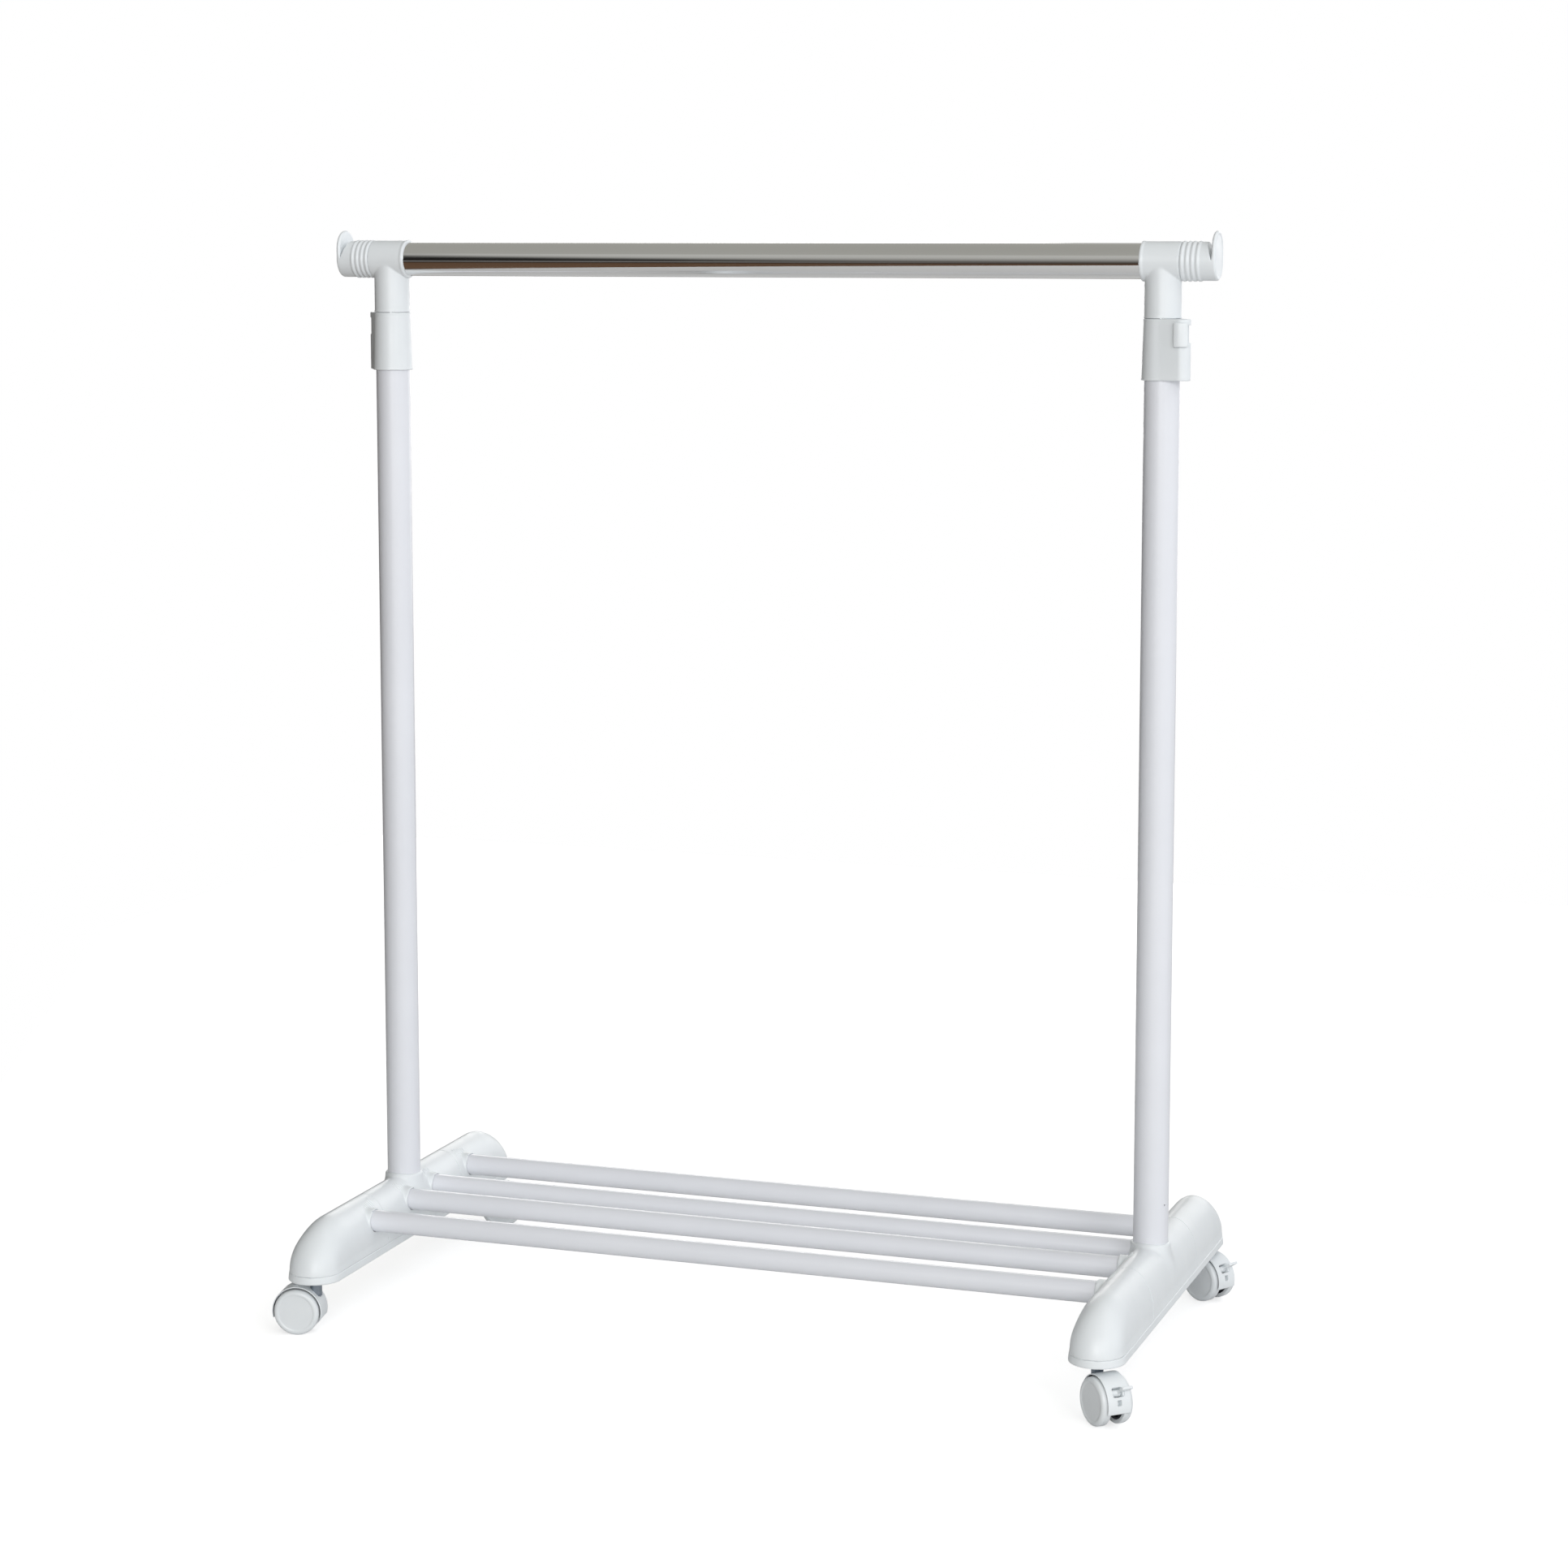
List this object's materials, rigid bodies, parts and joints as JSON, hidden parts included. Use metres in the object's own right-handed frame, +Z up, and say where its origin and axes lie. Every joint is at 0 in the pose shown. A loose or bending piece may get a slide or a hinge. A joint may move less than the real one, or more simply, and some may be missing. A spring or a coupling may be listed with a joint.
{
  "type": "rolling clothes rack",
  "caption": "Free-standing clothes rail on casters: height-adjustable chrome hanging rail between two posts with clamp levers, lower crossbars for shoes, swivel casters with brakes.",
  "frame": {"origin": "centre of the footprint, on the floor", "axes": "+X along the hanging rail, -Y towards the front, +Z up"},
  "size_m": [0.7958, 0.425, 0.956],
  "materials": {
    "white_plastic": "satin moulded plastic, faintly cool white",
    "painted_tube": "satin powder coat, cool white",
    "chrome": "polished chrome plate",
    "zinc_steel": "zinc-plated steel",
    "dark_plastic": "moulded plastic, near black",
    "wheel_plastic": "smooth moulded plastic, light grey white"
  },
  "bodies": {
    "base": {"left_post": "painted_tube", "right_post": "painted_tube", "left_lock_collar": "white_plastic", "right_lock_collar": "white_plastic", "collar_bushes": "white_plastic", "lock_pads": "dark_plastic", "lever_pins": "zinc_steel", "left_foot_hub": "white_plastic", "right_foot_hub": "white_plastic", "front_left_toe": "white_plastic", "front_right_toe": "white_plastic", "rear_left_toe": "white_plastic", "rear_right_toe": "white_plastic", "foot_covers": "white_plastic", "front_crossbar": "painted_tube", "front_inner_crossbar": "painted_tube", "rear_inner_crossbar": "painted_tube", "rear_crossbar": "painted_tube", "caster_sockets": "dark_plastic", "foot_screws": "zinc_steel"},
    "upper_frame": {"hanging_rail": "chrome", "left_tee": "white_plastic", "right_tee": "white_plastic", "left_end_cap": "white_plastic", "right_end_cap": "white_plastic", "left_inner_tube": "chrome", "right_inner_tube": "chrome", "inner_tube_guides": "white_plastic"},
    "left_lever": {"left_clamp_lever": "white_plastic"},
    "right_lever": {"right_clamp_lever": "white_plastic"},
    "front_left_swivel": {"front_left_hood": "white_plastic", "front_left_stem": "zinc_steel", "front_left_axle": "zinc_steel"},
    "front_left_roller_1": {"front_left_wheel_1": "wheel_plastic", "front_left_core_1": "dark_plastic"},
    "front_left_roller_2": {"front_left_wheel_2": "wheel_plastic", "front_left_core_2": "dark_plastic"},
    "front_right_swivel": {"front_right_hood": "white_plastic", "front_right_stem": "zinc_steel", "front_right_axle": "zinc_steel"},
    "front_right_roller_1": {"front_right_wheel_1": "wheel_plastic", "front_right_core_1": "dark_plastic"},
    "front_right_roller_2": {"front_right_wheel_2": "wheel_plastic", "front_right_core_2": "dark_plastic"},
    "front_right_brake_lever": {"front_right_brake": "white_plastic"},
    "rear_left_swivel": {"rear_left_hood": "white_plastic", "rear_left_stem": "zinc_steel", "rear_left_axle": "zinc_steel"},
    "rear_left_roller_1": {"rear_left_wheel_1": "wheel_plastic", "rear_left_core_1": "dark_plastic"},
    "rear_left_roller_2": {"rear_left_wheel_2": "wheel_plastic", "rear_left_core_2": "dark_plastic"},
    "rear_right_swivel": {"rear_right_hood": "white_plastic", "rear_right_stem": "zinc_steel", "rear_right_axle": "zinc_steel"},
    "rear_right_roller_1": {"rear_right_wheel_1": "wheel_plastic", "rear_right_core_1": "dark_plastic"},
    "rear_right_roller_2": {"rear_right_wheel_2": "wheel_plastic", "rear_right_core_2": "dark_plastic"},
    "rear_right_brake_lever": {"rear_right_brake": "white_plastic"}
  },
  "joints": [
    {"name": "height_slide", "type": "slide", "parent": "base", "child": "upper_frame", "axis": [0, 0, 1], "range_m": [0, 0.65]},
    {"name": "left_lever_hinge", "type": "hinge", "parent": "base", "child": "left_lever", "pos_m": [-0.3697, 0.01215, 0.864], "axis": [0, 0, 1], "range_deg": [0, 75]},
    {"name": "right_lever_hinge", "type": "hinge", "parent": "base", "child": "right_lever", "pos_m": [0.3697, -0.01215, 0.864], "axis": [0, 0, 1], "range_deg": [0, 75]},
    {"name": "front_left_swivel_hinge", "type": "hinge", "parent": "base", "child": "front_left_swivel", "pos_m": [-0.351, -0.181, 0.045], "axis": [0, 0, 1], "continuous": true},
    {"name": "front_left_roller_1_hinge", "type": "hinge", "parent": "front_left_swivel", "child": "front_left_roller_1", "pos_m": [-0.36572, -0.18386, 0.02], "axis": [0.1908, -0.9816, 0], "continuous": true},
    {"name": "front_left_roller_2_hinge", "type": "hinge", "parent": "front_left_swivel", "child": "front_left_roller_2", "pos_m": [-0.36572, -0.18386, 0.02], "axis": [0.1908, -0.9816, 0], "continuous": true},
    {"name": "front_right_swivel_hinge", "type": "hinge", "parent": "base", "child": "front_right_swivel", "pos_m": [0.351, -0.181, 0.045], "axis": [0, 0, 1], "continuous": true},
    {"name": "front_right_roller_1_hinge", "type": "hinge", "parent": "front_right_swivel", "child": "front_right_roller_1", "pos_m": [0.36142, -0.19179, 0.02], "axis": [0.7193, 0.6947, 0], "continuous": true},
    {"name": "front_right_roller_2_hinge", "type": "hinge", "parent": "front_right_swivel", "child": "front_right_roller_2", "pos_m": [0.36142, -0.19179, 0.02], "axis": [0.7193, 0.6947, 0], "continuous": true},
    {"name": "front_right_brake_hinge", "type": "hinge", "parent": "front_right_swivel", "child": "front_right_brake_lever", "pos_m": [0.37086, -0.20157, 0.02917], "axis": [0.7193, 0.6947, 0], "range_deg": [0, 20]},
    {"name": "rear_left_swivel_hinge", "type": "hinge", "parent": "base", "child": "rear_left_swivel", "pos_m": [-0.351, 0.181, 0.045], "axis": [0, 0, 1], "continuous": true},
    {"name": "rear_left_roller_1_hinge", "type": "hinge", "parent": "rear_left_swivel", "child": "rear_left_roller_1", "pos_m": [-0.33801, 0.1885, 0.02], "axis": [-0.5, 0.866, 0], "continuous": true},
    {"name": "rear_left_roller_2_hinge", "type": "hinge", "parent": "rear_left_swivel", "child": "rear_left_roller_2", "pos_m": [-0.33801, 0.1885, 0.02], "axis": [-0.5, 0.866, 0], "continuous": true},
    {"name": "rear_right_swivel_hinge", "type": "hinge", "parent": "base", "child": "rear_right_swivel", "pos_m": [0.351, 0.181, 0.045], "axis": [0, 0, 1], "continuous": true},
    {"name": "rear_right_roller_1_hinge", "type": "hinge", "parent": "rear_right_swivel", "child": "rear_right_roller_1", "pos_m": [0.36406, 0.17361, 0.02], "axis": [0.4924, 0.8704, 0], "continuous": true},
    {"name": "rear_right_roller_2_hinge", "type": "hinge", "parent": "rear_right_swivel", "child": "rear_right_roller_2", "pos_m": [0.36406, 0.17361, 0.02], "axis": [0.4924, 0.8704, 0], "continuous": true},
    {"name": "rear_right_brake_hinge", "type": "hinge", "parent": "rear_right_swivel", "child": "rear_right_brake_lever", "pos_m": [0.37589, 0.16692, 0.02917], "axis": [0.4924, 0.8704, 0], "range_deg": [0, 20]}
  ]
}
